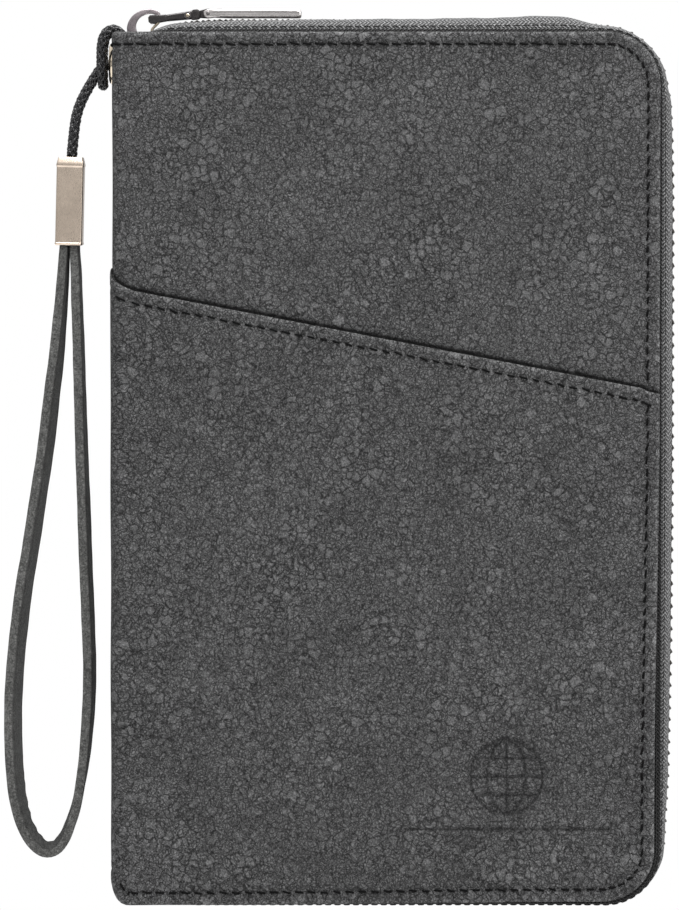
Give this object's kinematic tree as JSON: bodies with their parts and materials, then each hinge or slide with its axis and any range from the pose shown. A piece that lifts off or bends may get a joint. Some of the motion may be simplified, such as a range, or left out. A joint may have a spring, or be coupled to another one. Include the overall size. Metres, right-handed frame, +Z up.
{
  "type": "passport holder wallet",
  "caption": "Closed zip-around travel wallet for passports in suede-like leather, with slanted outer slip pockets, a zip slider and pull, and a wrist strap hitched to an eyelet on the spine.",
  "frame": {"origin": "middle of the closed wallet's footprint, on the surface it stands on; the hanging cord, sleeve and strap are not counted", "axes": "+Z up along the spine, +X from the spine to the zipped side, front cover facing -Y"},
  "size_m": [0.158, 0.023, 0.2127],
  "materials": {
    "suede_leather": "matte dark grey nubuck-like synthetic leather, mottled",
    "strap_leather": "matte dark grey synthetic leather, folded strap",
    "pocket_leather": "smooth matte black-grey inner leather",
    "lining": "fine woven polyester lining",
    "board": "stiffener board, hidden",
    "zip_tape": "dark grey herringbone woven tape",
    "zip_coil": "dark grey nylon coil",
    "nickel": "pale nickel plate, lightly brushed",
    "champagne_metal": "brushed champagne plate",
    "waxed_cord": "black waxed braid with a gloss"
  },
  "bodies": {
    "back_cover": {"back_cover_leather": "suede_leather", "back_slip_pocket": "suede_leather", "back_board": "board", "back_lining": "lining", "boarding_pass_pocket": "pocket_leather", "passport_pocket": "pocket_leather", "back_zip_tape": "zip_tape", "back_zip_coil": "zip_coil", "back_top_stop": "nickel", "bottom_stop": "nickel"},
    "spine": {"spine_leather": "suede_leather", "spine_lower_panel": "suede_leather", "spine_lining": "lining", "eyelet": "champagne_metal", "eyelet_washer": "champagne_metal", "cord_hitch": "waxed_cord"},
    "front_cover": {"front_cover_leather": "suede_leather", "front_slip_pocket": "suede_leather", "front_board": "board", "front_lining": "lining", "card_slot_upper": "pocket_leather", "card_slot_middle": "pocket_leather", "card_slot_lower": "pocket_leather", "front_zip_tape": "zip_tape", "front_zip_coil": "zip_coil", "front_top_stop": "nickel"},
    "slider": {"slider_body": "nickel", "slider_crown": "nickel"},
    "pull_link": {"pull_link": "nickel", "link_rivet": "champagne_metal"},
    "pull_tab": {"pull_tab": "nickel", "tab_pin": "nickel"},
    "wrist_cord": {"strap_cord": "waxed_cord"},
    "wrist_strap": {"strap_sleeve": "champagne_metal", "strap_band": "strap_leather"}
  },
  "joints": [
    {"name": "spine_fold", "type": "hinge", "parent": "back_cover", "child": "spine", "pos_m": [-0.066, 0.0105, 0.103], "axis": [0, 0, -1], "range_deg": [0, 90]},
    {"name": "front_fold", "type": "hinge", "parent": "spine", "child": "front_cover", "pos_m": [-0.066, -0.0105, 0.103], "axis": [0, 0, -1], "range_deg": [0, 90]},
    {"name": "slider_run", "type": "slide", "parent": "back_cover", "child": "slider", "axis": [0.9981, 0, 0.0623], "range_m": [0, 0.083]},
    {"name": "link_tilt", "type": "hinge", "parent": "slider", "child": "pull_link", "pos_m": [-0.0566, 0, 0.2091], "axis": [0, -1, 0], "range_deg": [0, 100]},
    {"name": "tab_tilt", "type": "hinge", "parent": "pull_link", "child": "pull_tab", "pos_m": [-0.0435, 0, 0.2105], "axis": [0, -1, 0], "range_deg": [0, 115]},
    {"name": "strap_swing", "type": "hinge", "parent": "spine", "child": "wrist_cord", "pos_m": [-0.071, 0, 0.193], "axis": [0, 1, 0], "range_deg": [0, 110]},
    {"name": "strap_sway", "type": "hinge", "parent": "wrist_cord", "child": "wrist_strap", "pos_m": [-0.0759, 0, 0.1758], "axis": [1, 0, 0], "range_deg": [-30, 30]}
  ],
  "couplings": [
    {"joint": "front_fold", "follows": "spine_fold", "ratio": 1}
  ]
}
